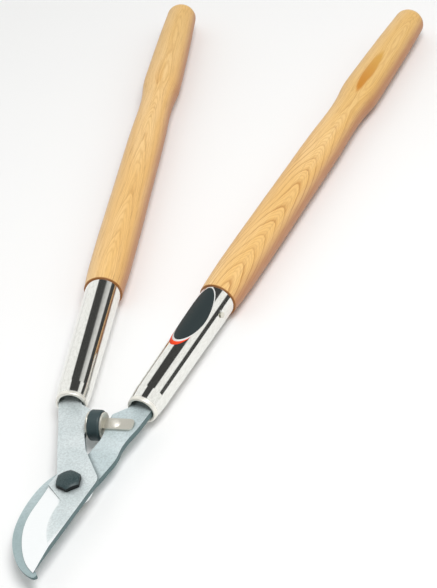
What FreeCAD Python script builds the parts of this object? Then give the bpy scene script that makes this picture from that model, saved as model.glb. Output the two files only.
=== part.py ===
"""Bypass loppers: two cranked steel levers on one pivot bolt, in ferruled ash handles.

The tool lies flat with its jaws closed. In the head's own frame the two plates meet at z = 0,
the handles run towards +Y, the jaws point to -Y, and the pivot axis runs along Z through
bolt_x, bolt_y. Every sub-part is then moved so that the origin is under the middle of the tool.
"""
import FreeCAD, Part
import math
import os
import Sketcher
from FreeCAD import Placement, Rotation, Vector

# ---------------------------------------------------------------- driving dimensions (mm, deg)
SIZES = {
    # the head's frame: its place from the middle of the tool, and above what it lies on
    "head_x": 3.63, "head_y": -255.398, "head_z": 16.008,
    # handles: the half angle between them and each axis's offset from the head's origin
    "half_angle": 9.0, "left_offset": 17.55, "right_offset": 10.2,
    # stations along a handle axis, from the foot of the origin's perpendicular
    "mouth_at": 83.5, "curl_at": 97.0, "spigot_at": 125.0, "wood_at": 206.5, "seat_at": 240.0,
    "seat_end": 270.0, "neck_at": 455.0, "swell_at": 484.0, "dome_at": 586.5, "end_at": 598.0,
    # radii of the wood and of the ferrule
    "barrel_radius": 16.0, "neck_radius": 13.9, "swell_radius": 16.0, "end_radius": 12.9,
    "mouth_radius": 11.3, "curl_radius": 12.4, "ferrule_radius": 13.7, "ferrule_wall": 1.0,
    "bead_radius": 1.2, "rim_radius": 14.9, "rim_round": 0.5,
    # plates
    "blade_thick": 4.2, "hook_thick": 4.5, "plate_gap": 0.05, "crank_start": 36.0,
    "crank_end": 52.0, "edge_land": 0.35, "hook_edge": 1.6, "tang_width": 9.0, "tang_end": 190.0,
    "plate_reach": 100.0, "plate_far": 210.0, "blade_half": 2.1, "hook_half": 2.25,
    "hole_reach": 40.0, "hole_drop": 20.0,
    # pivot, its axis placed in the head's frame
    "bolt_x": -1.85, "bolt_y": 2.95, "bolt_radius": 5.0, "bolt_hole": 5.04,
    "head_corner": 9.24, "head_height": 4.2, "head_turn": 40.6,
    "bush_radius": 6.5, "bush_hole": 6.55, "bush_rise": 0.1, "washer_radius": 14.4,
    "washer_thick": 2.0, "spring_radius": 9.0, "spring_thick": 0.8, "spring_rise": 0.5,
    "nut_height": 4.2, "collar_radius": 6.8, "collar_height": 1.4, "insert_radius": 6.0,
    "bolt_end": 0.6,
    # bumper, about its own axis through the disc's inner face
    "bumper_x": 2.6, "bumper_y": 62.2, "bumper_z": 1.0, "bumper_angle": 4.0,
    "disc_radius": 9.5, "disc_thick": 1.4, "rubber_radius": 11.0, "rubber_length": 9.2,
    "rubber_round": 1.6, "face_thick": 1.5, "tab_width": 10.4, "tab_length": 21.4,
    "tab_round": 3.6, "core_radius": 2.5, "core_head": 4.2, "core_cup": 3.86,
    "core_sink": 0.3,
    "rivet_at": 8.0, "rivet_radius": 2.0, "rivet_head": 4.0, "rivet_dome": 1.5,
    "rivet_foot": 3.4, "rivet_foot_height": 1.1, "seat_gap": 0.08,
    # ferrule nail and label
    "nail_at": 188.3, "nail_tilt": 17.0, "nail_radius": 1.2, "nail_head": 2.2,
    "nail_head_height": 0.7, "nail_length": 7.5, "nail_proud": 0.25, "slot_spare": 1.0,
    "label_at": 175.2, "label_half": 29.0, "label_width": 9.9, "label_thick": 0.2,
    "label_tilt": 7.0, "label_turn": 2.0,
}

doc = FreeCAD.newDocument("bypass_loppers")
sheet = doc.addObject("Spreadsheet::Sheet", "sizes")
for row, (alias, number) in enumerate(SIZES.items(), start=1):
    sheet.set("A%d" % row, str(number))
    sheet.setAlias("A%d" % row, alias)
doc.recompute()


# ---------------------------------------------------------------- sheet helpers
def value(expression):
    """The number that a sum of cells such as 'mouth_at + bead_radius' comes to."""
    if not isinstance(expression, str):
        return float(expression)
    total, sign = 0.0, 1.0
    for word in expression.split():
        if word in ("+", "-"):
            sign = 1.0 if word == "+" else -1.0
        else:
            total += sign * float(sheet.get(word))
    return total


def bind(item, prop, expression):
    """Tie a property of an object to a sum of cells."""
    words = [word if word in ("+", "-") else "sizes." + word for word in expression.split()]
    text = " ".join(words)
    item.setExpression(prop, "0 " + text if text.startswith("-") else text)


# ---------------------------------------------------------------- frames
def head_place(x=0.0, y=0.0, z=0.0, rotation=Rotation()):
    """The placement of something at x, y, z in the head's frame."""
    base = Vector(value("head_x") + x, value("head_y") + y, value("head_z") + z)
    return Placement(base, rotation)


def side_sign(side):
    """+1 on the right handle, -1 on the left one."""
    return 1.0 if side == "right" else -1.0


def handle_place(side):
    """The frame of a handle: local Y along its axis, local X to the tool's right."""
    sign = side_sign(side)
    angle = math.radians(value("half_angle"))
    offset = value(side + "_offset")
    turn = Rotation(Vector(0, 0, 1), -sign * value("half_angle"))
    return head_place(sign * offset * math.cos(angle), -offset * math.sin(angle), 0.0, turn)


def on_handle(side, along, across):
    """A point given along and across a handle axis, in the head's frame."""
    place = handle_place(side)
    point = place.multVec(Vector(across, along, 0))
    return point.x - value("head_x"), point.y - value("head_y")


# ---------------------------------------------------------------- sketches
def polygon(sketch, points):
    """A closed outline whose corners are sums of cells, each tied by two distances."""
    corners = [Vector(value(x), value(y), 0) for x, y in points]
    count = len(corners)
    for index in range(count):
        sketch.addGeometry(Part.LineSegment(corners[index], corners[(index + 1) % count]))
    for index in range(count):
        sketch.addConstraint(Sketcher.Constraint("Coincident", index, 2, (index + 1) % count, 1))
    for index, point in enumerate(points):
        for kind, expression in zip(("DistanceX", "DistanceY"), point):
            number = value(expression)
            if abs(number) < 1e-9:
                axis = -2 if kind == "DistanceX" else -1
                sketch.addConstraint(Sketcher.Constraint("PointOnObject", index, 1, axis))
                continue
            tie = sketch.addConstraint(Sketcher.Constraint(kind, -1, 1, index, 1, number))
            if isinstance(expression, str):
                bind(sketch, "Constraints[%d]" % tie, expression)
    return sketch


def rounded_path(points):
    """Lines through x, y, radius points with each inner corner rounded by its radius."""
    corners = [Vector(x, y, 0) for x, y, _ in points]
    curves, start = [], corners[0]
    for index in range(1, len(points) - 1):
        radius = points[index][2]
        if not radius:
            curves.append(Part.LineSegment(start, corners[index]))
            start = corners[index]
            continue
        back = (corners[index - 1] - corners[index]).normalize()
        ahead = (corners[index + 1] - corners[index]).normalize()
        half = back.getAngle(ahead) / 2
        reach = radius / math.tan(half)
        middle = (back + ahead).normalize() * (radius / math.sin(half))
        first, last = corners[index] + back * reach, corners[index] + ahead * reach
        crown = corners[index] + middle - Vector(middle).normalize() * radius
        curves.append(Part.LineSegment(start, first))
        curves.append(Part.Arc(first, crown, last))
        start = last
    curves.append(Part.LineSegment(start, corners[-1]))
    return curves


def spline(points):
    """A smooth curve through its points."""
    curve = Part.BSplineCurve()
    curve.interpolate([Vector(*point) for point in points])
    return curve


def outline_sketch(name, curves):
    """A flat outline in the XY plane, from curves that meet end to end."""
    sketch = doc.addObject("Sketcher::SketchObject", name)
    sketch.addGeometry(curves)
    return sketch


def extrusion(name, base, direction, forward, backward=None):
    """A prism of a sketch or face along a direction."""
    prism = doc.addObject("Part::Extrusion", name)
    prism.Base = base
    prism.DirMode = "Custom"
    prism.Dir = direction
    prism.Solid = True
    bind(prism, "LengthFwd", forward)
    if backward:
        bind(prism, "LengthRev", backward)
    return prism


def plane_of(body, role):
    """One of a body's own origin planes."""
    return next(item for item in body.Origin.OriginFeatures if item.Role == role)


def body_sketch(body, name, role="XY_Plane"):
    """An empty sketch on one of the body's own planes."""
    sketch = body.newObject("Sketcher::SketchObject", name)
    sketch.AttachmentSupport = (plane_of(body, role), [""])
    sketch.MapMode = "FlatFace"
    return sketch


def revolve(body, name, sketch, axis="V_Axis"):
    """A full turn of a sketch about one of its own axes."""
    turned = body.newObject("PartDesign::Revolution", name)
    turned.Profile = sketch
    turned.ReferenceAxis = (sketch, [axis])
    turned.Angle = 360.0
    sketch.Visibility = False
    return turned


# ---------------------------------------------------------------- booleans and primitives
def boolean(kind, name, base, tool):
    """Part::Cut, Part::Fuse or Part::Common of two objects."""
    result = doc.addObject("Part::" + kind, name)
    result.Base = base
    result.Tool = tool
    return result


def cylinder(name, radius, height, z=None):
    """A cylinder whose radius and height are sums of cells."""
    item = doc.addObject("Part::Cylinder", name)
    bind(item, "Radius", radius)
    bind(item, "Height", height)
    if z:
        bind(item, "Placement.Base.z", z)
    return item


def pivot_bore(name, radius):
    """The tool for a hole through a plate on the pivot's axis."""
    bore = cylinder(name, radius, "hole_reach", "- hole_drop")
    bind(bore, "Placement.Base.x", "bolt_x")
    bind(bore, "Placement.Base.y", "bolt_y")
    return bore


def pivot_place():
    """The placement of a piece made about the pivot's axis."""
    return head_place(value("bolt_x"), value("bolt_y"))


def named(item, label, place=None):
    """Make an object a sub-part: give it its label and its placement."""
    item.Label = label
    item.Placement = place or head_place()
    return item


# ---------------------------------------------------------------- the two levers
TANG_NECK_AT = 118.0     # where the tang has come in to its width
SHOULDER_END = 92.0      # inside the ferrule's mouth, where the taper of the tang starts
MOUTH_HALF = 8.5         # half width of a shank where it enters its ferrule
TANG_TIP_HALF = 2.6      # half width of the tang's tip


def bumper_seat(y):
    """The x of the flat on the blade's shank that meets the bumper's face, at a given y."""
    tilt = math.radians(value("bumper_angle"))
    reach = value("disc_thick + rubber_length + face_thick + seat_gap")
    face_x = value("bumper_x") - reach * math.cos(tilt)
    face_y = value("bumper_y") - reach * math.sin(tilt)
    return face_x - (y - face_y) * math.tan(tilt)


def tang_points(side):
    """The part of a lever inside its handle, from one side of the mouth to the other."""
    half = value("tang_width") / 2
    mouth = value("mouth_at") - 1.2
    end = value("tang_end")
    stations = [(mouth, MOUTH_HALF, 0), (SHOULDER_END, MOUTH_HALF, 0), (TANG_NECK_AT, half, 12),
                (end - 16, half, 0), (end, TANG_TIP_HALF, 1.5)]
    ahead = [(*on_handle(side, along, across), radius) for along, across, radius in stations]
    back = [(*on_handle(side, along, -across), radius) for along, across, radius in stations]
    return ahead + back[::-1]


HEEL = (-15.6, -1.2)                # where the cutting edge starts
BLADE_TIP = (1.2, -74.8)
CUTTING_EDGE = [HEEL, (-18.4, -13.5), (-20.7, -27.0), (-20.1, -38.2), (-17.0, -49.6),
                (-12.0, -60.4), (-6.2, -68.7), BLADE_TIP]
BEVEL_TOP = [(0.1, -15.2), (-2.7, -23.6), (-3.1, -30.6), (-2.2, -37.5), (-0.4, -43.3),
             (2.0, -48.7), (5.2, -54.6), (12.4, -60.2)]
HOOK_OUTER = [(-0.6, -77.9), (-9.4, -72.2), (-18.6, -60.9), (-25.2, -45.6), (-27.2, -29.0),
              (-25.6, -11.0), (-20.9, 4.6), (-15.5, 13.2)]
HOOK_BACK = [(-0.2, -73.2), (-7.2, -68.4), (-14.8, -57.8), (-20.4, -43.9), (-22.2, -29.0),
             (-20.8, -12.2), (-17.0, 1.2), (-14.2, 12.4)]
NOSE_EDGE = (8.5, -80.9)            # where the thinning's edge is carried on past the nose
NOSE_BACK = (8.5, -71.5)            # and where it starts there
HEEL_RISE = (2.4, 0.6)              # how far the bevel's edge climbs back up at the heel
HOOK_INNER = [(-9.0, -15.0), (-14.6, -20.6), (-17.7, -31.0), (-17.0, -42.0), (-12.7, -54.0),
              (-5.6, -64.6), (2.4, -73.4)]


def blade_outline():
    """Plan of the blade with its shank and tang, from the tip up the spine and back."""
    seat_low, seat_high = 50.6, 71.8
    path = [(*BLADE_TIP, 0), (17.4, 9.4, 8.5), (-1.0, 34.0, 24.0),
            (bumper_seat(seat_low), seat_low, 3.0), (bumper_seat(seat_high), seat_high, 1.5),
            (-12.6, 74.8, 1.5)]
    path += tang_points("left")
    path += [(-13.1, 9.4, 3.0), (*HEEL, 0)]
    return rounded_path(path) + [spline([(*point, 0) for point in CUTTING_EDGE])]


def hook_outline():
    """Plan of the hook with its shank and tang, from the nose round to the nose."""
    shank = [(*HOOK_OUTER[-1], 0), (-1.0, 32.6, 24.0), (4.9, 49.0, 16.0), (4.5, 72.4, 3.0)]
    shank += tang_points("right")[::-1]
    shank += [(27.5, 61.0, 40.0), (21.7, 43.5, 26.0), (20.9, 31.0, 30.0), (15.9, 13.0, 30.0),
              (9.8, -3.0, 16.0), (4.0, -14.2, 6.0), (*HOOK_INNER[0], 0)]
    nose = [(*HOOK_INNER[-1], 0), (4.1, -75.4, 1.2), (3.2, -79.0, 2.0), (*HOOK_OUTER[0], 0)]
    outer = spline([(*point, 0) for point in HOOK_OUTER])
    inner = spline([(*point, 0) for point in HOOK_INNER])
    return rounded_path(shank) + [inner] + rounded_path(nose) + [outer]


def cranked_band(name, low, high, half):
    """A plate's edge-on profile, flat at the head and centred on the handle axis beyond it."""
    sketch = doc.addObject("Sketcher::SketchObject", name + "_profile")
    sketch.Placement = Placement(Vector(), Rotation(Vector(1, 1, 1), 120))
    points = [("- plate_reach", high), ("- plate_reach", low), ("crank_start", low),
              ("crank_end", "- " + half), ("plate_far", "- " + half), ("plate_far", half),
              ("crank_end", half), ("crank_start", high)]
    polygon(sketch, points)
    return extrusion(name + "_band", sketch, Vector(1, 0, 0), "plate_reach", "plate_reach")


def ground_face(name, edge, heights, back, back_z, reach):
    """The stock above or below a face ruled between an edge and a line further in."""
    past = 0.12        # how far the face runs on past the edge, as a share of its width
    low = [(x + (x - u) * past, y + (y - v) * past, z + (z - back_z) * past)
           for (x, y), z, (u, v) in zip(edge, heights, back)]
    high = [(u, v, back_z) for u, v in back]
    rims = []
    for part_name, points in (("_edge", low), ("_back", high)):
        rim = doc.addObject("Part::Feature", name + part_name)
        rim.Shape = spline(points).toShape()
        rims.append(rim)
    face = doc.addObject("Part::RuledSurface", name + "_face")
    face.Curve1 = (rims[0], ["Edge1"])
    face.Curve2 = (rims[1], ["Edge1"])
    stock = doc.addObject("Part::Extrusion", name + "_stock")
    stock.Base = face
    stock.DirMode = "Custom"
    stock.Dir = Vector(0, 0, reach)
    stock.LengthFwd = abs(reach)
    stock.Solid = True
    return stock


def make_blade():
    """The cutting blade: a cranked plate with a wide bevel ground on its upper face."""
    slab = extrusion("blade_slab", outline_sketch("blade_plan", blade_outline()),
                     Vector(0, 0, 1), "plate_reach", "plate_reach")
    band = cranked_band("blade", "plate_gap", "plate_gap + blade_thick", "blade_half")
    plate = boolean("Common", "blade_plate", slab, band)
    top = value("plate_gap + blade_thick")
    rises = HEEL_RISE + (0,) * (len(CUTTING_EDGE) - len(HEEL_RISE))
    heights = [value("plate_gap + edge_land") + rise for rise in rises]
    bevel = ground_face("bevel", CUTTING_EDGE, heights, BEVEL_TOP, top, 8)
    ground = boolean("Cut", "blade_ground", plate, bevel)
    hole = pivot_bore("blade_hole", "bush_hole")
    return named(boolean("Cut", "blade", ground, hole), "blade")


def make_hook():
    """The fixed hook: a cranked plate, thinned underneath towards the jaw's outer edge."""
    slab = extrusion("hook_slab", outline_sketch("hook_plan", hook_outline()),
                     Vector(0, 0, 1), "plate_reach", "plate_reach")
    band = cranked_band("hook", "- hook_thick", 0, "hook_half")
    plate = boolean("Common", "hook_plate", slab, band)
    edge, back = [NOSE_EDGE] + HOOK_OUTER, [NOSE_BACK] + HOOK_BACK
    heights = [-value("hook_edge")] * len(edge)
    thin = ground_face("thinning", edge, heights, back, -value("hook_thick"), -8)
    thinned = boolean("Cut", "hook_thinned", plate, thin)
    bored = boolean("Cut", "hook_bored", thinned, pivot_bore("hook_hole", "bolt_hole"))
    rivet_hole = cylinder("hook_rivet_hole", "rivet_radius", "hole_reach")
    rivet_hole.Placement = rivet_place(-value("hole_drop"))
    return named(boolean("Cut", "hook", bored, rivet_hole), "hook")


# ---------------------------------------------------------------- the pivot
def hexagon(name, corner, height, z):
    """A hexagonal prism standing on a level."""
    item = doc.addObject("Part::Prism", name)
    item.Polygon = 6
    item.Placement.Rotation = Rotation(Vector(0, 0, 1), value("head_turn"))
    bind(item, "Circumradius", corner)
    bind(item, "Height", height)
    bind(item, "Placement.Base.z", z)
    return item


HEX_CHAMFER = 0.70       # radius of a hexagon's flat face, as a share of its corner radius
HEX_FLARE = 1.73         # how far the chamfer spreads for each millimetre down, for 30 degrees


def chamfered_hexagon(name, corner, height, z, upward):
    """A hexagon whose corners are turned off at its outer face."""
    prism = hexagon(name + "_prism", corner, height, z)
    radius, tall, level = value(corner), value(height), value(z)
    cone = doc.addObject("Part::Cone", name + "_cone")
    narrow = radius * HEX_CHAMFER
    wide = narrow + tall * HEX_FLARE
    cone.Height = tall
    cone.Radius1, cone.Radius2 = (wide, narrow) if upward else (narrow, wide)
    cone.Placement.Base.z = level
    return boolean("Common", name + "_turned", prism, cone)


def make_bolt():
    """The pivot bolt: a hexagon head on a plain shank that runs through both plates."""
    head = chamfered_hexagon("head", "head_corner", "head_height",
                             "plate_gap + blade_thick + bush_rise", True)
    shank = cylinder("bolt_shank", "bolt_radius",
                     "head_height + blade_thick + hook_thick + washer_thick + spring_thick"
                     " + spring_rise + nut_height + collar_height + bolt_end",
                     "plate_gap + bush_rise - hook_thick - washer_thick - spring_thick"
                     " - spring_rise - nut_height - collar_height - bolt_end")
    return named(boolean("Fuse", "pivot_bolt", head, shank), "pivot_bolt", pivot_place())


def ring(label, outer, inner, height, z):
    """A flat ring about the pivot axis."""
    disc = cylinder(label + "_disc", outer, height, z)
    hole = cylinder(label + "_hole", inner, "hole_reach", "- hole_drop")
    return named(boolean("Cut", label, disc, hole), label, pivot_place())


def make_disc_spring():
    """A conical spring washer that keeps the plates together."""
    body = doc.addObject("PartDesign::Body", "disc_spring")
    sketch = body_sketch(body, "disc_spring_profile", "XZ_Plane")
    top = "- hook_thick - washer_thick"
    polygon(sketch, [("bolt_hole", top), ("bolt_hole", top + " - spring_thick"),
                     ("spring_radius", top + " - spring_rise - spring_thick"),
                     ("spring_radius", top + " - spring_rise")])
    revolve(body, "disc_spring_turn", sketch)
    return named(body, "disc_spring", pivot_place())


def make_nut():
    """The lock nut: a hexagon with a round collar that holds the locking ring."""
    under = "- hook_thick - washer_thick - spring_thick - spring_rise"
    block = chamfered_hexagon("nut", "head_corner", "nut_height", under + " - nut_height", False)
    collar = cylinder("nut_collar", "collar_radius", "nut_height + collar_height",
                      under + " - nut_height - collar_height")
    whole = boolean("Fuse", "nut_whole", block, collar)
    bore = cylinder("nut_bore", "bolt_hole", "hole_reach", "- hole_drop")
    bored = boolean("Cut", "nut_bored", whole, bore)
    recess = cylinder("nut_recess", "insert_radius", "collar_height",
                      under + " - nut_height - collar_height")
    return named(boolean("Cut", "lock_nut", bored, recess), "lock_nut", pivot_place())


# ---------------------------------------------------------------- the handles
def nail_frame(side, out):
    """Local Z along a ferrule's nail, pointing out of the handle, at a distance from its axis.

    The right nail leans up and the left one down, as if one handle were turned over.
    """
    tilt = math.radians(value("nail_tilt"))
    sign = side_sign(side)
    ray = Vector(sign * math.cos(tilt), 0, sign * math.sin(tilt))
    return Placement(Vector(0, value("nail_at"), 0) + ray * out, Rotation(Vector(0, 0, 1), ray))


def nail_bored(base, label, side):
    """A handle piece with the hole that its ferrule's nail goes through."""
    hole = doc.addObject("Part::Cylinder", label + "_nail_hole")
    bind(hole, "Radius", "nail_radius")
    bind(hole, "Height", "nail_length + nail_length")
    hole.Placement = nail_frame(side, value("ferrule_radius - nail_length"))
    return named(boolean("Cut", label + "_bored", base, hole), label, handle_place(side))


def make_ferrule(side):
    """The plated tapered tube, rolled in to a bead at its mouth."""
    body = doc.addObject("PartDesign::Body", side + "_tube")
    sketch = body_sketch(body, side + "_tube_profile")
    polygon(sketch, [("mouth_radius", "mouth_at + bead_radius"), ("curl_radius", "curl_at"),
                     ("ferrule_radius", "wood_at"), ("ferrule_radius - ferrule_wall", "wood_at"),
                     ("curl_radius - ferrule_wall", "curl_at"),
                     ("mouth_radius - bead_radius - bead_radius", "mouth_at + bead_radius")])
    revolve(body, side + "_tube_turn", sketch)
    bead = body.newObject("PartDesign::AdditiveTorus", side + "_bead")
    bead.Placement.Rotation = Rotation(Vector(1, 0, 0), 90)
    bind(bead, "Placement.Base.y", "mouth_at + bead_radius")
    bind(bead, "Radius1", "mouth_radius - bead_radius")
    bind(bead, "Radius2", "bead_radius")
    return nail_bored(body, side + "_ferrule", side)


def inner_radius(along):
    """The radius inside a ferrule at a station on its long taper."""
    low, high = value("curl_at"), value("wood_at")
    narrow = value("curl_radius - ferrule_wall")
    wide = value("ferrule_radius - ferrule_wall")
    return narrow + (wide - narrow) * (along - low) / (high - low)


def wood_profile():
    """Half section of a turned handle: spigot, barrel, waist, swell and rounded end."""
    barrel, lip, rim = value("barrel_radius"), value("rim_radius"), value("rim_round")
    spigot, step = value("spigot_at"), value("wood_at")
    dome, end = value("dome_at"), value("end_at")
    tip = value("end_radius")
    arc = math.sqrt(0.5)
    corners = [(0, spigot), (inner_radius(spigot), spigot), (inner_radius(step), step),
               (lip - rim, step)]
    points = [Vector(x, y, 0) for x, y in corners]
    curves = [Part.LineSegment(a, b) for a, b in zip(points, points[1:])]
    shoulder = Vector(lip, step + rim, 0)
    bend = Vector(lip - rim + rim * arc, step + rim - rim * arc, 0)
    curves.append(Part.Arc(points[-1], bend, shoulder))
    # from the rounded lip up to the even stretch that a rack clip can hold
    seat, seat_end = value("seat_at"), value("seat_end")
    lip_rise = [(lip, step + rim), (lip + 0.55, seat - 22), (barrel - 0.2, seat - 10),
                (barrel, seat)]
    curves.append(spline([(x, y, 0) for x, y in lip_rise]))
    curves.append(Part.LineSegment(Vector(barrel, seat, 0), Vector(barrel, seat_end, 0)))
    # in to the neck, out over the swell and down to the end of the grip
    neck, swell = value("neck_radius"), value("swell_radius")
    neck_at, swell_at = value("neck_at"), value("swell_at")
    waist = [(barrel, seat_end), (barrel - 0.25, seat_end + 35), (barrel - 0.75, neck_at - 93),
             (neck + 0.55, neck_at - 38), (neck, neck_at), (neck + 0.85, neck_at + 10),
             (swell - 0.25, swell_at - 10), (swell, swell_at), (swell - 0.3, swell_at + 15),
             (tip + 1.75, dome - 46.5), (tip, dome)]
    curves.append(spline([(x, y, 0) for x, y in waist]))
    # the rounded end
    rise = end - dome
    crown = [(tip, dome), (tip * 0.93, dome + rise * 0.42), (tip * 0.71, dome + rise * 0.74),
             (tip * 0.38, dome + rise * 0.94), (0, end)]
    curves.append(spline([(x, y, 0) for x, y in crown]))
    curves.append(Part.LineSegment(Vector(0, end, 0), points[0]))
    return curves


def make_handle(side):
    """The turned ash handle, slotted inside its spigot for the lever's tang."""
    body = doc.addObject("PartDesign::Body", side + "_wood")
    sketch = body_sketch(body, side + "_wood_profile")
    sketch.addGeometry(wood_profile())
    revolve(body, side + "_wood_turn", sketch)
    thick = "blade_half" if side == "left" else "hook_half"
    slot = doc.addObject("Part::Box", side + "_tang_slot")
    bind(slot, "Length", "tang_width")
    bind(slot, "Width", "tang_end - spigot_at + slot_spare + slot_spare")
    bind(slot, "Height", thick + " + " + thick)
    slot.Placement.Base = Vector(-value("tang_width") / 2, value("spigot_at - slot_spare"),
                                 -value(thick))
    slotted = boolean("Cut", side + "_wood_slotted", body, slot)
    return nail_bored(slotted, side + "_handle", side)


def make_nail(side):
    """The short nail that holds a ferrule on its wood."""
    shank = cylinder(side + "_nail_shank", "nail_radius", "nail_length + nail_proud")
    head = doc.addObject("Part::Cylinder", side + "_nail_head")
    bind(head, "Radius", "nail_head")
    bind(head, "Height", "nail_head_height")
    bind(head, "Placement.Base.z", "nail_length + nail_proud")
    body = boolean("Fuse", side + "_nail_body", shank, head)
    reach = value("ferrule_radius - nail_length")
    place = handle_place(side).multiply(nail_frame(side, reach))
    return named(body, side + "_ferrule_nail", place)


def make_label():
    """The plain oval sticker wrapped on the right ferrule."""
    body = doc.addObject("PartDesign::Body", "label_skin")
    sketch = body_sketch(body, "label_skin_profile")
    polygon(sketch, [("curl_radius", "curl_at"), ("ferrule_radius", "wood_at"),
                     ("ferrule_radius + label_thick", "wood_at"),
                     ("curl_radius + label_thick", "curl_at")])
    revolve(body, "label_skin_turn", sketch)
    oval = doc.addObject("Part::Ellipse", "label_oval")
    bind(oval, "MajorRadius", "label_half")
    bind(oval, "MinorRadius", "label_width")
    stamp = extrusion("label_stamp", oval, Vector(0, 0, 1), "barrel_radius")
    lean = Rotation(Vector(0, 1, 0), -value("label_tilt"))
    turned = Rotation(Vector(0, 0, 1), 90 + value("label_turn"))
    oval.Placement = Placement(Vector(0, value("label_at"), 0), lean.multiply(turned))
    stamp.Dir = lean.multVec(Vector(0, 0, 1))
    return named(boolean("Common", "ferrule_label", body, stamp), "ferrule_label",
                 handle_place("right"))


# ---------------------------------------------------------------- the bumper
def bumper_place():
    """The bumper's frame: local X from its bracket towards the blade's shank."""
    swing = Rotation(Vector(0, 0, 1), 180 + value("bumper_angle"))
    return head_place(value("bumper_x"), value("bumper_y"), value("bumper_z"), swing)


def rivet_place(z):
    """Under the bracket's rivet, at a height in the head's frame, before the head is placed."""
    tilt = math.radians(value("bumper_angle"))
    reach = value("rivet_at")
    return Placement(Vector(value("bumper_x") + reach * math.cos(tilt),
                            value("bumper_y") + reach * math.sin(tilt), z), Rotation())


def turned_piece(label, points, rounding=None):
    """A piece turned about the bumper's axis, from x, radius corners."""
    body = doc.addObject("PartDesign::Body", label)
    sketch = body_sketch(body, label + "_profile")
    polygon(sketch, points)
    turned = revolve(body, label + "_turn", sketch, "H_Axis")
    if rounding:
        doc.recompute()
        limit = value("rubber_radius") - 0.01
        edges = ["Edge%d" % (index + 1) for index, edge in enumerate(turned.Shape.Edges)
                 if len(edge.Vertexes) == 1 and edge.Curve.Radius > limit]
        fillet = body.newObject("PartDesign::Fillet", label + "_rounded")
        fillet.Base = (turned, edges)
        bind(fillet, "Radius", rounding)
    return named(body, label, bumper_place())


def make_rubber():
    """The rubber buffer between the bracket's disc and the face washer."""
    return turned_piece("bumper_rubber", [
        ("disc_thick", "core_radius"), ("disc_thick", "rubber_radius"),
        ("disc_thick + rubber_length", "rubber_radius"),
        ("disc_thick + rubber_length", "core_radius")], "rubber_round")


def make_face():
    """The washer that meets the blade's shank, countersunk for the core rivet."""
    near = "disc_thick + rubber_length"
    return turned_piece("bumper_face", [
        (near, "core_radius"), (near, "disc_radius"), (near + " + face_thick", "disc_radius"),
        (near + " + face_thick", "core_head")])


def make_core():
    """The rivet along the bumper's axis, its head sunk in the face washer."""
    near = "disc_thick + rubber_length"
    return turned_piece("bumper_rivet", [
        (0, 0), (0, "core_radius"), (near, "core_radius"),
        (near + " + face_thick - core_sink", "core_cup"), (near + " + face_thick - core_sink", 0)])


def make_bracket():
    """The bumper's bracket: a disc behind the rubber and a tab riveted on the hook's shank."""
    disc = cylinder("bracket_disc", "disc_radius", "disc_thick")
    disc.Placement.Rotation = Rotation(Vector(0, 1, 0), 90)
    tab = doc.addObject("Part::Box", "bracket_tab")
    bind(tab, "Length", "tab_length + disc_thick")
    bind(tab, "Width", "tab_width")
    bind(tab, "Height", "disc_thick")
    tab.Placement.Base = Vector(-value("tab_length"), -value("tab_width") / 2,
                                value("hook_half - bumper_z"))
    doc.recompute()
    rounded = doc.addObject("Part::Fillet", "bracket_tab_rounded")
    rounded.Base = tab
    far = -value("tab_length") + 0.01
    corners = [index + 1 for index, edge in enumerate(tab.Shape.Edges)
               if edge.BoundBox.XMax < far and edge.BoundBox.ZLength > 0.1]
    rounded.Edges = [(index, value("tab_round"), value("tab_round")) for index in corners]
    whole = boolean("Fuse", "bracket_whole", disc, rounded)
    core = cylinder("bracket_core_hole", "core_radius", "rubber_length")
    core.Placement = Placement(Vector(-1, 0, 0), Rotation(Vector(0, 1, 0), 90))
    bored = boolean("Cut", "bracket_bored", whole, core)
    hole = cylinder("bracket_rivet_hole", "rivet_radius", "hole_reach")
    hole.Placement.Base = Vector(-value("rivet_at"), 0, -value("hole_drop"))
    return named(boolean("Cut", "bumper_bracket", bored, hole), "bumper_bracket", bumper_place())


def make_bracket_rivet():
    """The domed rivet through the bracket's tab and the hook's shank."""
    body = doc.addObject("PartDesign::Body", "bracket_rivet")
    sketch = body_sketch(body, "bracket_rivet_profile", "XZ_Plane")
    top = value("hook_half + disc_thick")
    bottom = -value("hook_half")
    foot = bottom - value("rivet_foot_height")
    shank, head, dome = value("rivet_radius"), value("rivet_head"), value("rivet_dome")
    corners = [(0, top + dome), (0, foot), (value("rivet_foot"), foot),
               (value("rivet_foot"), bottom), (shank, bottom), (shank, top), (head, top)]
    points = [Vector(x, z, 0) for x, z in corners]
    sketch.addGeometry([Part.LineSegment(a, b) for a, b in zip(points, points[1:])])
    ball = (head ** 2 + dome ** 2) / (2 * dome)
    half = math.asin(head / ball) / 2
    crest = Vector(ball * math.sin(half), top + dome - ball * (1 - math.cos(half)), 0)
    sketch.addGeometry(Part.Arc(points[-1], crest, points[0]))
    revolve(body, "bracket_rivet_turn", sketch)
    return named(body, "bracket_rivet", head_place().multiply(rivet_place(0)))


# ---------------------------------------------------------------- build, check and write
def fault(item):
    """What is wrong with a sub-part, or nothing."""
    shape = item.Shape
    if shape.isNull():
        return "null shape"
    if not shape.isValid():
        return "invalid shape"
    if not shape.Solids:
        return "no solid"
    return ""


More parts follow.
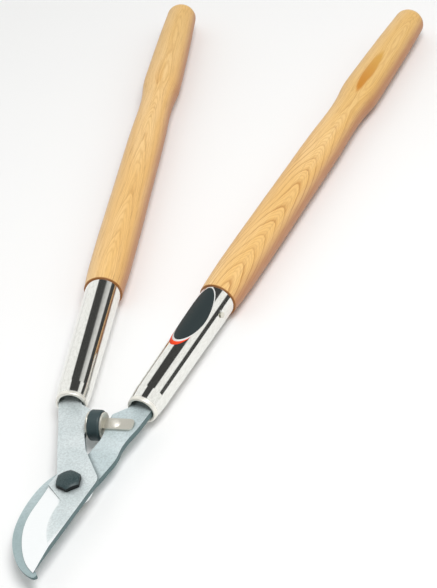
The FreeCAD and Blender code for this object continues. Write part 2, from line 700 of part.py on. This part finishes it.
def main():
    pieces = [make_blade(), make_hook(), make_bolt(),
              ring("pivot_bush", "bush_radius", "bolt_hole",
                   "plate_gap + blade_thick + bush_rise", None),
              ring("pivot_washer", "washer_radius", "bolt_hole", "washer_thick",
                   "- hook_thick - washer_thick"),
              make_disc_spring(), make_nut(),
              ring("nut_insert", "insert_radius", "bolt_hole", "collar_height",
                   "- hook_thick - washer_thick - spring_thick - spring_rise - nut_height"
                   " - collar_height"),
              make_bracket(), make_rubber(), make_face(), make_core(), make_bracket_rivet(),
              make_label()]
    for side in ("left", "right"):
        pieces += [make_ferrule(side), make_handle(side), make_nail(side)]
    doc.recompute()
    for item in doc.Objects:
        if "Invalid" in item.State or "Error" in item.State:
            raise RuntimeError("%s did not compute" % item.Name)
    os.makedirs("parts", exist_ok=True)
    for piece in pieces:
        trouble = fault(piece)
        if trouble:
            raise RuntimeError("%s: %s" % (piece.Label, trouble))
        piece.Shape.exportStep("parts/%s.step" % piece.Label)
    return pieces


pieces = main()
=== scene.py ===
"""Looks for the bypass loppers: materials, softened edges, the label's edging and the studio."""
import math

import bmesh
import bpy
from mathutils import Matrix, Vector


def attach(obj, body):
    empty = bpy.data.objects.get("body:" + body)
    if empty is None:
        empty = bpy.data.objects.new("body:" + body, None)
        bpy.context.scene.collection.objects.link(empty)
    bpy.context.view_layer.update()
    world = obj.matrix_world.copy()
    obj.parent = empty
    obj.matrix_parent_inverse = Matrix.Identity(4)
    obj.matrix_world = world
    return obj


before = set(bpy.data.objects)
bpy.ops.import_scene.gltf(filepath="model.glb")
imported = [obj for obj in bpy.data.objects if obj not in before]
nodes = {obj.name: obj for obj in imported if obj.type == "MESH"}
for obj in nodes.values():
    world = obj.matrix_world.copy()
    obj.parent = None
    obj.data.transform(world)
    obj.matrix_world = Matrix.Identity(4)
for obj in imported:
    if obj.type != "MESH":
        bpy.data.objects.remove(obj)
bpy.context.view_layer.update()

MM = 0.001
HEAD = Vector((3.63, -255.398, 16.008)) * MM              # the head's own origin, as in the CAD
HALF_ANGLE = math.radians(9.0)                            # half the angle between the handles
AXIS_OFFSET = {"left": 17.55 * MM, "right": 10.2 * MM}    # from HEAD out to each handle's axis

# Along the whole tool, in the row frame
TIP_SHADE = (-305.0 * MM, -235.0 * MM)    # painted shade on a jaw: full before and gone after
GROUND_END = (-246.0 * MM, -240.0 * MM)   # where the blade's ground face stops
NOOK_REACH = 5.0 * MM                     # how near another surface has to be for painted shade on the steel

# Along a handle's axis, from its foot beside HEAD
BEAD_END = (86.0 * MM, 87.6 * MM)         # where the bead at the ferrule's mouth stops
WOOD_RIM = (206.3 * MM, 206.8 * MM)       # the dark line where the wood meets the ferrule
RIM_SOFT = 0.5 * MM
RING_WIDTH = 2.7 * MM                     # one year's growth
FERRULE_START = 97.0                      # in millimetres, as is the rest of the long taper
FERRULE_LENGTH = 109.5
FERRULE_RADIUS = 12.4
FERRULE_GROWTH = 1.3

WELD_REACH = 0.002 * MM
EDGE_SEGMENTS = 3
EDGE_ANGLE = math.radians(32.0)
FILM_THICKNESS = 0.04 * MM
FILM_LEAN = math.radians(7.0)
FILM_TURN = math.radians(2.0)
FLOOR_RADIUS = 8.0
FLOOR_DROP = 0.1 * MM

VIEW_TURN = math.radians(24.966)
VIEW_RISE = math.radians(39.391)
VIEW_ROLL = math.radians(12.008)
VIEW_TARGET = HEAD + Vector((40.887, 209.399, 0.0)) * MM
VIEW_DISTANCE = 1441.17 * MM
LENS = 117.98
SENSOR = 36.0
LAMP_TARGET = Vector((0.0, -0.05, 0.0))

# painted highlight for the rounded corners of the plates
CORNER_GLINT = (0.97, 0.99, 1.0, 1)
GROUND_LOW = (0.88, 0.91, 0.92, 1)
GROUND_HIGH = (0.95, 0.97, 0.98, 1)
# painted shade for steel near another surface
CONTACT_SHADE = (0.030, 0.055, 0.058, 1)
WOOD = {
    "early": (0.900, 0.630, 0.300, 1), "warm": (0.820, 0.510, 0.180, 1),
    "grip": (0.730, 0.450, 0.130, 1), "thread": (0.640, 0.345, 0.100, 1),
    "late": (0.470, 0.190, 0.030, 1), "pore": (0.430, 0.200, 0.055, 1),
    # painted shade: the flank entry is the darker, redder colour put on the handles' sides
    "flank_shade": (0.400, 0.145, 0.050, 1), "rim": (0.330, 0.115, 0.012, 1),
    "stain_near": (0.560, 0.215, 0.015, 1), "stain_far": (0.640, 0.340, 0.060, 1),
}


# ---------------------------------------------------------------- node helpers
class Graph:
    """A material's or world's node tree, with short calls for the nodes used here."""

    def __init__(self, tree):
        self.tree = tree
        self.tree.nodes.clear()

    def node(self, kind, **values):
        made = self.tree.nodes.new(kind)
        for key, val in values.items():
            setattr(made, key, val)
        return made

    def link(self, source, target):
        self.tree.links.new(source, target)

    def feed(self, socket, source):
        """Put a number, a tuple or another node's output in a socket."""
        if hasattr(source, "is_linked") and hasattr(source, "node"):
            self.link(source, socket)
        else:
            socket.default_value = source

    def math(self, operation, a, b=0.0, c=0.0):
        made = self.node("ShaderNodeMath", operation=operation)
        for socket, source in zip(made.inputs, (a, b, c)):
            self.feed(socket, source)
        return made.outputs[0]

    def ramp(self, source, low, high, to_low=0.0, to_high=1.0, smooth=True):
        """A number carried from one range to another, held at the ends."""
        made = self.node("ShaderNodeMapRange", clamp=True)
        made.interpolation_type = "SMOOTHSTEP" if smooth else "LINEAR"
        for name, val in (("Value", source), ("From Min", low), ("From Max", high),
                          ("To Min", to_low), ("To Max", to_high)):
            self.feed(made.inputs[name], val)
        return made.outputs["Result"]

    def band(self, source, low, high, soft):
        """1 between two limits, falling to 0 over a soft edge outside them."""
        rise = self.ramp(source, low - soft, low)
        fall = self.ramp(source, high, high + soft, 1.0, 0.0)
        return self.math("MULTIPLY", rise, fall)

    def mix(self, factor, a, b):
        made = self.node("ShaderNodeMix", data_type="RGBA")
        for socket, source in ((made.inputs[0], factor), (made.inputs[6], a), (made.inputs[7], b)):
            self.feed(socket, source)
        return made.outputs[2]

    def noise(self, vector, scale, detail=2.0, rough=0.5):
        made = self.node("ShaderNodeTexNoise")
        self.feed(made.inputs["Vector"], vector)
        made.inputs["Scale"].default_value = scale
        made.inputs["Detail"].default_value = detail
        made.inputs["Roughness"].default_value = rough
        return made.outputs["Fac"]

    def mapping(self, vector, location=(0, 0, 0), rotation=(0, 0, 0), scale=(1, 1, 1)):
        made = self.node("ShaderNodeMapping", vector_type="POINT")
        self.feed(made.inputs["Vector"], vector)
        made.inputs["Location"].default_value = location
        made.inputs["Rotation"].default_value = rotation
        made.inputs["Scale"].default_value = scale
        return made.outputs[0]

    def coords(self):
        """Position in the row frame, in metres: the pieces' own coordinates at rest."""
        return self.node("ShaderNodeTexCoord").outputs["Object"]

    def normal_z(self):
        """How far a face looks up, which doesn't change as the levers turn."""
        normal = self.node("ShaderNodeTexCoord").outputs["Normal"]
        return self.split(normal)[2]

    def split(self, vector):
        made = self.node("ShaderNodeSeparateXYZ")
        self.feed(made.inputs[0], vector)
        return made.outputs

    def bump(self, height, strength, distance):
        made = self.node("ShaderNodeBump")
        made.inputs["Strength"].default_value = strength
        made.inputs["Distance"].default_value = distance
        self.feed(made.inputs["Height"], height)
        return made.outputs[0]

    def surface(self, **inputs):
        shader = self.node("ShaderNodeBsdfPrincipled")
        for name, source in inputs.items():
            self.feed(shader.inputs[name.replace("_", " ")], source)
        output = self.node("ShaderNodeOutputMaterial")
        self.link(shader.outputs[0], output.inputs["Surface"])
        return shader


def material(name):
    made = bpy.data.materials.new(name)
    made.use_nodes = True
    return made, Graph(made.node_tree)


def darker(colour, factor):
    """A colour at a fraction of its brightness."""
    return tuple(factor * c for c in colour[:3]) + (1,)


def paint(thing, mat):
    """Give an object one material."""
    thing.data.materials.clear()
    thing.data.materials.append(mat)


# ---------------------------------------------------------------- metals
def satin_steel(name, tone, shade, jaw):
    """Blasted plate: pale flats, painted shade on walls, painted highlight on corners, the blade's
    ground face.

    jaw is how much painted shade the flats take towards the tip. The steel also takes painted
    shade where another surface stands close to it.
    """
    mat, g = material(name)
    up = g.normal_z()
    along = g.split(g.coords())[1]
    grit = g.noise(g.coords(), 650.0, 4.0, 0.7)
    cloud = g.noise(g.coords(), 60.0, 2.0)
    flat = g.mix(g.ramp(grit, 0.36, 0.62), darker(tone, 0.80), tone)
    flat = g.mix(g.ramp(cloud, 0.3, 0.7, 0.0, 0.15), flat, shade)
    # painted shade: faces that stand on edge take a darker copy of the shade colour
    wall_shade = g.ramp(g.math("ABSOLUTE", up), 0.25, 0.4, 1.0, 0.0)
    # painted shade: the flats darken towards the tip by the jaw share
    flat = g.mix(g.ramp(along, *TIP_SHADE, jaw, 0.0), flat, shade)
    colour = g.mix(wall_shade, flat, darker(shade, 0.55))
    # painted highlight: bevelled corners, between facing up and on edge, take a bright colour
    corner_highlight = g.band(up, 0.5, 0.93, 0.08)
    colour = g.mix(g.math("MULTIPLY", corner_highlight, 0.9), colour, CORNER_GLINT)
    tilted = g.math("MULTIPLY", g.ramp(up, 0.990, 0.997, 1.0, 0.0), g.ramp(up, 0.85, 0.9))
    low = g.ramp(along, *GROUND_END, 1.0, 0.0)
    ground = g.math("MULTIPLY", tilted, low)
    lines = g.noise(g.mapping(g.coords(), rotation=(0, 0, 0.5), scale=(160, 2600, 100)), 1.0)
    bright = g.mix(lines, GROUND_LOW, GROUND_HIGH)
    colour = g.mix(ground, colour, bright)
    rough = g.math("ADD", g.ramp(grit, 0.2, 0.8, 0.46, 0.56), g.math("MULTIPLY", ground, -0.1))
    # painted shade: an ambient occlusion node darkens the steel near other surfaces
    nook = g.node("ShaderNodeAmbientOcclusion", samples=8)
    nook.inputs["Distance"].default_value = NOOK_REACH
    contact_shade = g.ramp(nook.outputs["AO"], 0.45, 0.95, 0.65, 0.0)
    colour = g.mix(contact_shade, colour, CONTACT_SHADE)
    g.surface(Base_Color=colour, Metallic=0.45, Roughness=rough,
              Normal=g.bump(grit, 0.15, 0.0001))
    return mat


def plated(name, tone, rough, wear):
    """A plated metal with a faint cloudiness in its gloss."""
    mat, g = material(name)
    cloud = g.noise(g.coords(), 90.0, 3.0)
    fine = g.noise(g.coords(), 1400.0, 2.0)
    dull = g.ramp(cloud, 0.3, 0.7, rough, rough + wear)
    colour = g.mix(g.ramp(fine, 0.3, 0.7, 0.0, 0.15), tone, darker(tone, 0.8))
    g.surface(Base_Color=colour, Metallic=1.0, Roughness=dull)
    return mat


def black_steel():
    """Blackened steel with painted shade: near black on its sides and a little greyer on top."""
    mat, g = material("black_steel")
    grit = g.noise(g.coords(), 900.0, 3.0)
    up = g.normal_z()
    colour = g.mix(g.ramp(grit, 0.35, 0.65), (0.024, 0.044, 0.048, 1), (0.046, 0.072, 0.076, 1))
    # painted shade: the sides near black and the top greyer, by how far a face looks up
    colour = g.mix(g.ramp(up, 0.3, 0.8), (0.002, 0.004, 0.005, 1), colour)
    shader = g.surface(Base_Color=colour, Roughness=g.ramp(grit, 0.3, 0.7, 0.34, 0.46),
                       Normal=g.bump(grit, 0.2, 0.0001))
    shader.inputs["Specular IOR Level"].default_value = 0.3
    return mat


# ---------------------------------------------------------------- rubber, nylon, label
def rubber():
    """Dark moulded rubber with a fine grain."""
    mat, g = material("rubber")
    grain = g.noise(g.coords(), 1500.0, 2.0)
    colour = g.mix(grain, (0.016, 0.036, 0.040, 1), (0.034, 0.060, 0.065, 1))
    g.surface(Base_Color=colour, Roughness=g.ramp(grain, 0.2, 0.8, 0.42, 0.6),
              Normal=g.bump(grain, 0.25, 0.0001))
    return mat


def nylon():
    """Pale nylon for the nut's insert."""
    mat, g = material("nylon")
    grain = g.noise(g.coords(), 700.0, 2.0)
    colour = g.mix(grain, (0.62, 0.64, 0.62, 1), (0.72, 0.73, 0.70, 1))
    g.surface(Base_Color=colour, Roughness=g.ramp(grain, 0.2, 0.8, 0.4, 0.5))
    return mat


def printed(name, low, high, rough):
    """A printed film with a slight mottle."""
    mat, g = material(name)
    mottle = g.noise(g.coords(), 500.0, 2.0)
    shader = g.surface(Base_Color=g.mix(mottle, low, high),
                       Roughness=g.ramp(mottle, 0.2, 0.8, rough, rough + 0.1))
    shader.inputs["Specular IOR Level"].default_value = 0.3
    return mat


# ---------------------------------------------------------------- ash
def handle_matrix(side):
    """A handle's own frame: X across, Y along its axis from its foot beside HEAD, Z up."""
    sign = 1.0 if side == "right" else -1.0
    offset = AXIS_OFFSET[side]
    base = HEAD + Vector((sign * offset * math.cos(HALF_ANGLE),
                           -offset * math.sin(HALF_ANGLE), 0.0))
    return Matrix.Translation(base) @ Matrix.Rotation(-sign * HALF_ANGLE, 4, "Z")


def handle_coords(g, side):
    """Position in a handle's own frame, in metres."""
    inverse = handle_matrix(side).inverted()
    return g.mapping(g.coords(), tuple(inverse.translation), tuple(inverse.to_euler()))


def ash(side, heart, rise, reach, contrast, knot):
    """Turned ash: growth rings of a log whose heart runs beside the handle, cut at a slant.

    heart is where the log's heart stands across and below the handle, rise is how fast the
    rings climb along it and reach how far along it they do. contrast is how dark the late wood
    is. knot is a stained patch: its place along and across, its half length, its half width
    and its strength.
    """
    mat, g = material("ash_" + side)
    knot_along, knot_across, knot_length, knot_width, knot_strength = knot
    local = handle_coords(g, side)
    x, y, z = g.split(local)
    sway = g.math("MULTIPLY_ADD", g.noise(g.mapping(local, scale=(10, 7, 10)), 1.0, 2.0), 0.020,
                  -0.010)
    wobble = g.math("MULTIPLY_ADD", g.noise(g.mapping(local, scale=(70, 16, 70)), 1.0, 3.0),
                    0.0024, -0.0012)
    depth = math.hypot(*heart)
    across = g.math("ADD", g.math("MULTIPLY_ADD", z, heart[0] / depth,
                                  g.math("MULTIPLY", x, -heart[1] / depth)), sway)
    far_x = g.math("ADD", g.math("SUBTRACT", x, heart[0]), sway)
    far_z = g.math("SUBTRACT", z, heart[1])
    squares = g.math("ADD", g.math("MULTIPLY", far_x, far_x), g.math("MULTIPLY", far_z, far_z))
    radius = g.math("ADD", g.math("SQRT", squares), wobble)
    straight = g.ramp(y, reach - 0.10, reach + 0.06, 0.0, 1.0)
    climb = g.math("SUBTRACT", y, g.math("MULTIPLY", straight, g.math("SUBTRACT", y, reach)))
    point = g.math("SQRT", g.math("MULTIPLY_ADD", across, across, 4.0e-6))
    ring = g.math("MULTIPLY_ADD", climb, -rise, g.math("MULTIPLY_ADD", point, -0.22, radius))
    turns = g.math("MULTIPLY", ring, 1.0 / RING_WIDTH)
    phase = g.math("FRACT", turns)
    late = g.math("MULTIPLY", g.ramp(phase, 0.62, 0.93), g.ramp(phase, 0.93, 0.98, 1.0, 0.0))
    uneven = g.noise(g.mapping(local, scale=(60, 10, 60)), 1.0, 2.0)
    late = g.math("MULTIPLY", late, g.ramp(uneven, 0.35, 0.62, 0.30, 1.0))
    late = g.math("MULTIPLY", late, g.math("SUBTRACT", 1.0, g.math("MULTIPLY", straight, 0.75)))
    fine = g.math("FRACT", g.math("MULTIPLY", turns, 4.0))
    thread = g.math("MULTIPLY", g.ramp(fine, 0.3, 0.7), g.ramp(fine, 0.7, 1.0, 1.0, 0.0))
    pores = g.noise(g.mapping(local, scale=(1500, 40, 1500)), 1.0, 3.0, 0.6)
    fleck = g.ramp(pores, 0.50, 0.66)
    drift = g.noise(g.mapping(local, scale=(70, 5, 70)), 1.0, 2.0)
    colour = g.mix(g.ramp(drift, 0.35, 0.65), WOOD["early"], WOOD["warm"])
    grip = g.ramp(y, reach - 0.05, reach + 0.05, 0.0, 0.6)
    colour = g.mix(grip, colour, WOOD["grip"])
    colour = g.mix(g.math("MULTIPLY", thread, 0.42), colour, WOOD["thread"])
    colour = g.mix(g.math("MULTIPLY", late, contrast), colour, WOOD["late"])
    streak = g.math("MULTIPLY", fleck, g.math("MULTIPLY_ADD", late, 0.30, 0.26))
    colour = g.mix(streak, colour, WOOD["pore"])
    # painted shade: the sides darken and redden the further they turn from up
    flank_shade = g.ramp(g.normal_z(), 0.0, 0.70, 0.88, 0.0)
    colour = g.mix(flank_shade, colour, WOOD["flank_shade"])
    near_y = g.math("MULTIPLY", g.math("SUBTRACT", y, knot_along), 1.0 / knot_length)
    near_x = g.math("MULTIPLY", g.math("SUBTRACT", x, knot_across), 1.0 / knot_width)
    spread = g.math("ADD", g.math("MULTIPLY", near_y, near_y),
                    g.math("MULTIPLY", near_x, near_x))
    torn = g.noise(g.mapping(local, scale=(500, 60, 500)), 1.0)
    ragged = g.math("MULTIPLY_ADD", torn, 0.6, -0.3)
    patch = g.ramp(g.math("ADD", spread, ragged), 0.55, 1.1, 1.0, 0.0)
    patch = g.math("MULTIPLY", patch, g.ramp(z, 0.0, 0.006))
    stain = g.mix(g.ramp(near_y, -0.8, 0.9), WOOD["stain_near"], WOOD["stain_far"])
    colour = g.mix(g.math("MULTIPLY", patch, knot_strength), colour, stain)
    rim = g.band(y, *WOOD_RIM, RIM_SOFT)
    colour = g.mix(g.math("MULTIPLY", rim, 0.85), colour, WOOD["rim"])
    height = g.math("MULTIPLY_ADD", fleck, -0.6, g.math("MULTIPLY", late, 0.3))
    shader = g.surface(Base_Color=colour, Roughness=g.ramp(pores, 0.3, 0.7, 0.40, 0.52),
                       Normal=g.bump(height, 0.10, 0.0002))
    shader.inputs["Coat Weight"].default_value = 0.15
    shader.inputs["Coat Roughness"].default_value = 0.35
    return mat


def ferrule_plate(side):
    """Bright plating on a ferrule, smeared a little and duller on the bead at its mouth."""
    mat, g = material("chrome_" + side)
    local = handle_coords(g, side)
    bead = g.ramp(g.split(local)[1], *BEAD_END, 1.0, 0.0)
    smear = g.noise(g.mapping(local, scale=(700, 260, 700)), 1.0, 3.0, 0.65)
    tone = g.mix(g.ramp(smear, 0.35, 0.68), (0.87, 0.87, 0.835, 1), (0.79, 0.79, 0.75, 1))
    tone = g.mix(bead, tone, (0.88, 0.86, 0.79, 1))
    rough = g.math("ADD", g.ramp(smear, 0.3, 0.75, 0.06, 0.11), g.math("MULTIPLY", bead, 0.30))
    g.surface(Base_Color=tone, Roughness=rough,
              Metallic=g.math("SUBTRACT", 1.0, g.math("MULTIPLY", bead, 0.45)))
    return mat


# ---------------------------------------------------------------- CAD nodes: edges and finishes
def soften(name, width):
    """Round a CAD node's edges with modifiers and shade it smooth, its points left in place."""
    thing = nodes[name]
    split = thing.data.attributes.get("custom_normal")
    if split:
        thing.data.attributes.remove(split)
    for polygon in thing.data.polygons:
        polygon.use_smooth = True
    weld = thing.modifiers.new("weld", "WELD")
    weld.merge_threshold = WELD_REACH
    edge = thing.modifiers.new("edge", "BEVEL")
    edge.limit_method = "ANGLE"
    edge.angle_limit = EDGE_ANGLE
    edge.width = width
    edge.segments = EDGE_SEGMENTS
    edge.use_clamp_overlap = True
    edge.harden_normals = True


for name, width in (("blade", 0.0005), ("hook", 0.0005), ("pivot_bolt", 0.0006),
                    ("pivot_washer", 0.0003), ("lock_nut", 0.0004), ("bumper_bracket", 0.0003),
                    ("bumper_face", 0.0003), ("left_ferrule_nail", 0.00045),
                    ("right_ferrule_nail", 0.00045)):
    soften(name, width)

nickel = plated("nickel", (0.76, 0.74, 0.66, 1), 0.30, 0.08)
dull_nickel = plated("nickel_dull", (0.80, 0.78, 0.72, 1), 0.58, 0.06)
bronze = plated("bronze", (0.62, 0.42, 0.20, 1), 0.32, 0.1)
blade_steel = satin_steel("satin_steel_blade", (0.74, 0.81, 0.82, 1), (0.22, 0.33, 0.34, 1), 0.0)
hook_steel = satin_steel("satin_steel_hook", (0.64, 0.74, 0.76, 1), (0.20, 0.31, 0.32, 1), 0.60)
washer_steel = plated("satin_steel_washer", (0.90, 0.93, 0.94, 1), 0.38, 0.05)
black = black_steel()
dark_film = printed("label", (0.012, 0.022, 0.024, 1), (0.018, 0.030, 0.032, 1), 0.55)
orange_film = printed("label_orange", (0.90, 0.045, 0.004, 1), (0.95, 0.065, 0.006, 1), 0.5)
white_film = printed("label_white", (0.80, 0.80, 0.78, 1), (0.86, 0.86, 0.84, 1), 0.5)

FINISH = {
    "blade": blade_steel, "hook": hook_steel, "pivot_bolt": black, "pivot_bush": bronze,
    "pivot_washer": washer_steel, "disc_spring": nickel, "lock_nut": nickel,
    "nut_insert": nylon(),
    "bumper_bracket": nickel, "bumper_rubber": rubber(), "bumper_face": nickel,
    "bumper_rivet": nickel, "bracket_rivet": dull_nickel, "ferrule_label": dark_film,
    "left_ferrule": ferrule_plate("left"), "right_ferrule": ferrule_plate("right"),
    "left_ferrule_nail": nickel, "right_ferrule_nail": nickel,
    "left_handle": ash("left", (-0.032, -0.095), 0.040, 0.500, 0.28,
                       (0.480, 0.001, 0.020, 0.004, 0.25)),
    "right_handle": ash("right", (-0.057, -0.082), 0.125, 0.430, 0.80,
                        (0.493, 0.0045, 0.031, 0.0042, 0.95)),
}
for name, mat in FINISH.items():
    paint(nodes[name], mat)


# ---------------------------------------------------------------- the label's edging
def ferrule_radius(along):
    """The outside of a ferrule at a station in metres on its long taper."""
    share = (along / MM - FERRULE_START) / FERRULE_LENGTH
    return (FERRULE_RADIUS + FERRULE_GROWTH * share) * MM


def wrapped_oval(name, along, across, half_length, half_width, lift, mat):
    """A thin oval film bent round the right ferrule under the label, its middle above the axis.

    along and across place it on the ferrule, and lift is how far it stands off the plating. It
    leans to the left round the ferrule and is turned a little, as the label is.
    """
    place = handle_matrix("right")
    shape = bmesh.new()
    rings = 6
    spokes = 96
    rows = []
    for ring in range(1, rings + 1):
        row = []
        for spoke in range(spokes):
            angle = 2 * math.pi * spoke / spokes
            up = half_length * math.cos(angle) * ring / rings
            out = half_width * math.sin(angle) * ring / rings
            y = along + up * math.cos(FILM_TURN) + out * math.sin(FILM_TURN)
            x = across + out * math.cos(FILM_TURN) - up * math.sin(FILM_TURN)
            radius = ferrule_radius(y) + lift
            bend = x / radius - FILM_LEAN
            spot = Vector((radius * math.sin(bend), y, radius * math.cos(bend)))
            row.append(shape.verts.new(place @ spot))
        rows.append(row)
    middle = ferrule_radius(along) + lift
    bend = across / middle - FILM_LEAN
    centre = shape.verts.new(place @ Vector((middle * math.sin(bend), along,
                                             middle * math.cos(bend))))
    for spoke in range(spokes):
        after = (spoke + 1) % spokes
        shape.faces.new((centre, rows[0][after], rows[0][spoke]))
        for inner, outer in zip(rows, rows[1:]):
            shape.faces.new((inner[spoke], inner[after], outer[after], outer[spoke]))
    bmesh.ops.recalc_face_normals(shape, faces=shape.faces)
    for face in shape.faces:
        face.smooth = True
    mesh = bpy.data.meshes.new(name)
    shape.to_mesh(mesh)
    shape.free()
    film = bpy.data.objects.new(name, mesh)
    bpy.context.scene.collection.objects.link(film)
    solid = film.modifiers.new("film", "SOLIDIFY")
    solid.thickness = FILM_THICKNESS
    solid.offset = 0.0
    paint(film, mat)
    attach(film, "hook_lever")


wrapped_oval("label_orange_edge", 172.9 * MM, -1.0 * MM, 32.4 * MM, 11.2 * MM, 0.05 * MM,
             orange_film)
wrapped_oval("label_white_edge", 174.8 * MM, -0.2 * MM, 30.6 * MM, 11.3 * MM, 0.10 * MM,
             white_film)


# ---------------------------------------------------------------- studio
def make_floor():
    """A plain pale floor just under the tool."""
    mat, g = material("floor")
    tone = g.noise(g.coords(), 3.0)
    g.surface(Base_Color=g.mix(tone, (0.90, 0.90, 0.90, 1), (0.91, 0.91, 0.91, 1)), Roughness=0.9)
    mesh = bpy.data.meshes.new("floor")
    shape = bmesh.new()
    bmesh.ops.create_circle(shape, cap_ends=True, radius=FLOOR_RADIUS, segments=96)
    shape.to_mesh(mesh)
    shape.free()
    floor = bpy.data.objects.new("floor", mesh)
    floor.location.z = -FLOOR_DROP
    bpy.context.scene.collection.objects.link(floor)
    paint(floor, mat)


def make_world():
    """A pale room that lights the tool, dimmer in some fixed directions for the metal to mirror.

    turn is the direction round the tool from +Y towards +X and rise the height over the floor,
    both in degrees. The camera sees a plain pale ground in place of the room.
    """
    degrees = 180.0 / math.pi
    gap_turn = (-28.0, 35.0)
    gap_rise = (36.0, 40.0)
    panel_turn = (8.0, 44.0)
    right_turn = (6.0, 66.0)
    right_rise = (22.0, 38.0)
    low_turn = (24.0, 64.0)
    low_rise = (18.0, 22.0)
    world = bpy.data.worlds.new("studio")
    world.use_nodes = True
    bpy.context.scene.world = world
    g = Graph(world.node_tree)
    x, y, z = g.split(g.node("ShaderNodeTexCoord").outputs["Generated"])
    turn = g.math("MULTIPLY", g.math("ARCTAN2", x, y), degrees)
    rise = g.math("MULTIPLY", g.math("ARCSINE", z), degrees)
    gap = g.math("MULTIPLY", g.band(turn, *gap_turn, 4.0), g.ramp(rise, *gap_rise))
    panel = g.ramp(turn, *panel_turn, 0.22, 1.0, smooth=False)
    right = g.math("MULTIPLY", g.band(turn, *right_turn, 3.0), g.band(rise, *right_rise, 2.0))
    low = g.math("MULTIPLY", g.band(turn, *low_turn, 3.0), g.ramp(rise, *low_rise, 1.0, 0.0))
    level = g.math("MULTIPLY", g.math("SUBTRACT", 1.0, gap), g.math("SUBTRACT", 1.0, low))
    level = g.math("MULTIPLY", level, g.math("ADD", g.math("SUBTRACT", 1.0, right),
                                              g.math("MULTIPLY", right, panel)))
    level = g.math("MULTIPLY_ADD", level, 0.94, 0.06)
    room = g.node("ShaderNodeBackground")
    near = g.ramp(y, -0.25, 0.15, 0.40, 1.0)
    g.feed(room.inputs["Strength"], g.math("MULTIPLY", g.math("MULTIPLY", level, near), 0.98))
    room.inputs["Color"].default_value = (1.0, 1.0, 0.985, 1)
    plain = g.node("ShaderNodeBackground")
    plain.inputs["Color"].default_value = (1, 1, 1, 1)
    plain.inputs["Strength"].default_value = 0.95
    choose = g.node("ShaderNodeMixShader")
    g.link(g.node("ShaderNodeLightPath").outputs["Is Camera Ray"], choose.inputs[0])
    g.link(room.outputs[0], choose.inputs[1])
    g.link(plain.outputs[0], choose.inputs[2])
    g.link(choose.outputs[0], g.node("ShaderNodeOutputWorld").inputs["Surface"])


def make_lamp(name, place, size, power):
    """A round lamp, its width in metres and its power in watts, aimed at the tool."""
    lamp = bpy.data.lights.new(name, "AREA")
    lamp.shape = "DISK"
    lamp.size = size
    lamp.energy = power
    holder = bpy.data.objects.new(name, lamp)
    holder.location = place
    aim = LAMP_TARGET - Vector(place)
    holder.rotation_mode = "QUATERNION"
    holder.rotation_quaternion = aim.to_track_quat("-Z", "Y")
    bpy.context.scene.collection.objects.link(holder)


def make_camera():
    """The camera at the photograph's viewing angle."""
    level = math.cos(VIEW_RISE)
    back = Vector((math.sin(VIEW_TURN) * level, -math.cos(VIEW_TURN) * level,
                   math.sin(VIEW_RISE)))
    right = (-back).cross(Vector((0, 0, 1))).normalized()
    up = right.cross(-back)
    side = right * math.cos(VIEW_ROLL) - up * math.sin(VIEW_ROLL)
    top = right * math.sin(VIEW_ROLL) + up * math.cos(VIEW_ROLL)
    lens = bpy.data.cameras.new("camera")
    lens.sensor_width = SENSOR
    lens.lens = LENS
    lens.clip_start = 0.05
    lens.clip_end = 60.0
    camera = bpy.data.objects.new("camera", lens)
    turned = Matrix((side, top, back)).transposed().to_4x4()
    camera.matrix_world = Matrix.Translation(VIEW_TARGET + back * VIEW_DISTANCE) @ turned
    bpy.context.scene.collection.objects.link(camera)
    bpy.context.scene.camera = camera


make_floor()
make_world()
make_lamp("key", (0.55, -0.35, 1.6), 0.9, 19.0)
make_camera()
bpy.context.scene.view_settings.view_transform = "Standard"
